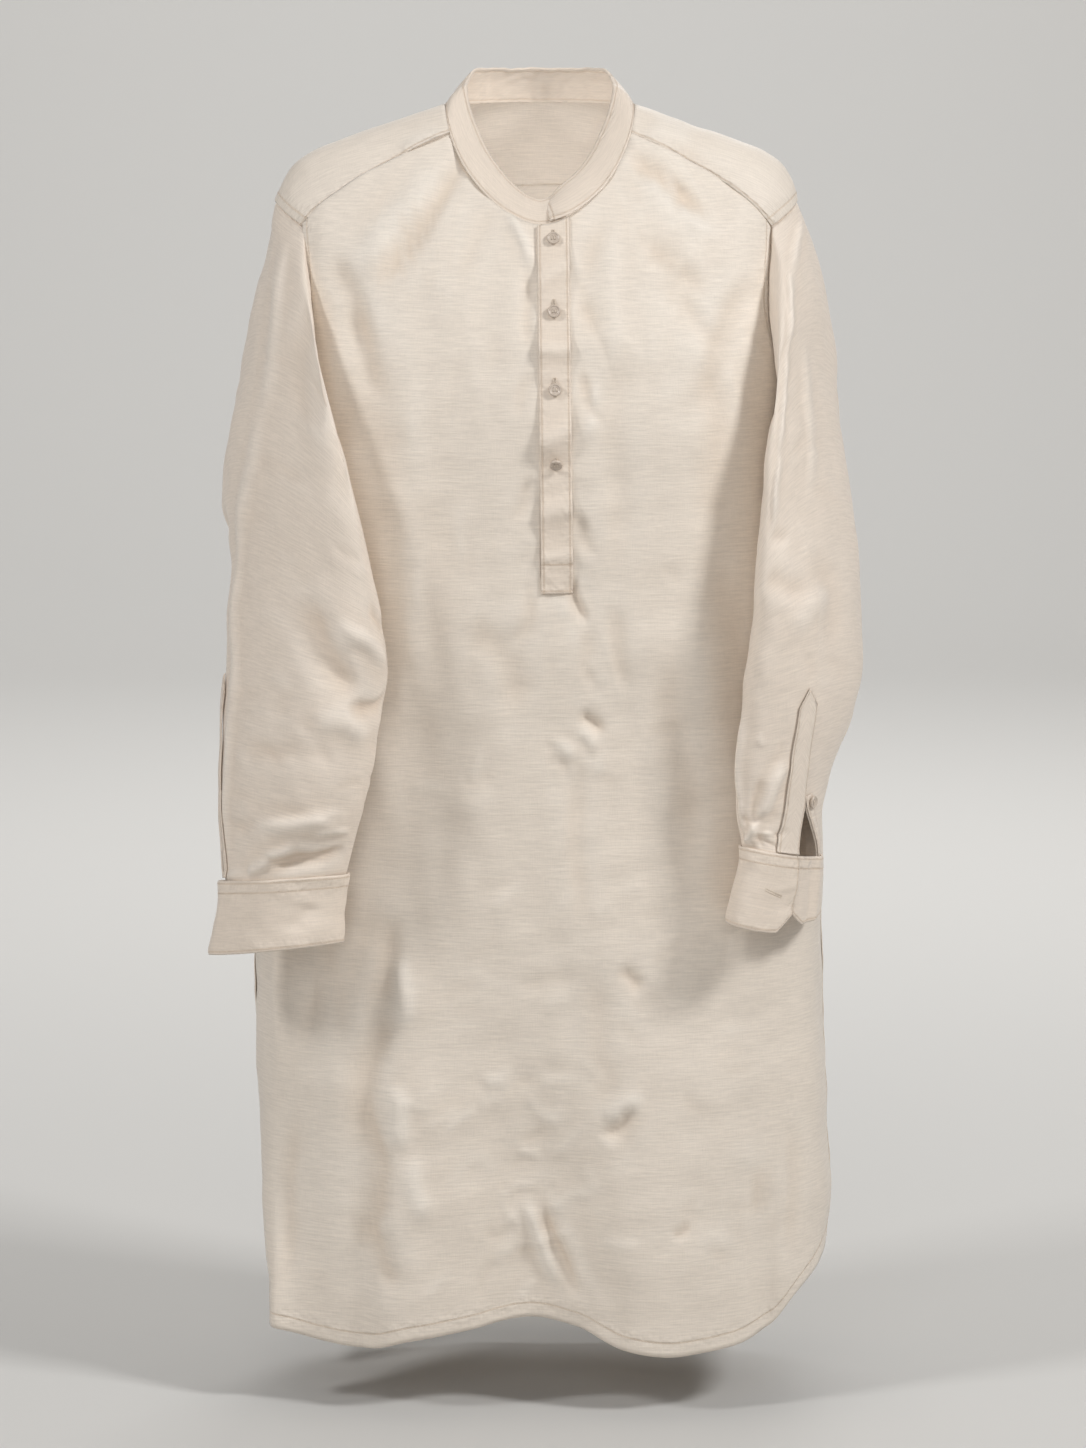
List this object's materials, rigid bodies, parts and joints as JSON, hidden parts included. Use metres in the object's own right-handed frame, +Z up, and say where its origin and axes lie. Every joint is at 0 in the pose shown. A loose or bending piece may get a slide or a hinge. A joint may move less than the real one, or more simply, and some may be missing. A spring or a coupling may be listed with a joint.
{
  "type": "kurta",
  "caption": "Long-sleeved, knee-length kurta with band collar, half-length buttoned placket, shoulder yoke, cuffs and side slits.",
  "frame": {"origin": "between the shoulders, at the height where the collar meets the shoulder line, where the wearer holds the garment up", "axes": "+Z up the body, -Y towards the front with the placket, +X towards the wearer's left"},
  "size_m": [0.5403, 0.3081, 1.058],
  "materials": {
    "body_cloth": "plain woven, slubbed, soft sheen",
    "sleeve_cloth": "plain woven, slubbed, soft sheen",
    "fused_cloth": "plain woven over a stiffener, smooth",
    "button": "moulded resin, satin"
  },
  "bodies": {
    "root": {"front_panel": "body_cloth", "back_panel": "body_cloth", "yoke": "body_cloth", "right_sleeve": "sleeve_cloth", "left_sleeve": "sleeve_cloth", "collar_band": "fused_cloth", "front_placket": "fused_cloth", "under_placket": "fused_cloth", "front_button_1": "button", "front_button_2": "button", "front_button_3": "button", "front_button_4": "button", "right_cuff": "fused_cloth", "right_sleeve_placket": "sleeve_cloth", "right_slit_binding": "sleeve_cloth", "left_cuff": "fused_cloth", "left_sleeve_placket": "sleeve_cloth", "left_slit_binding": "sleeve_cloth", "left_sleeve_button": "button"}
  },
  "joints": []
}
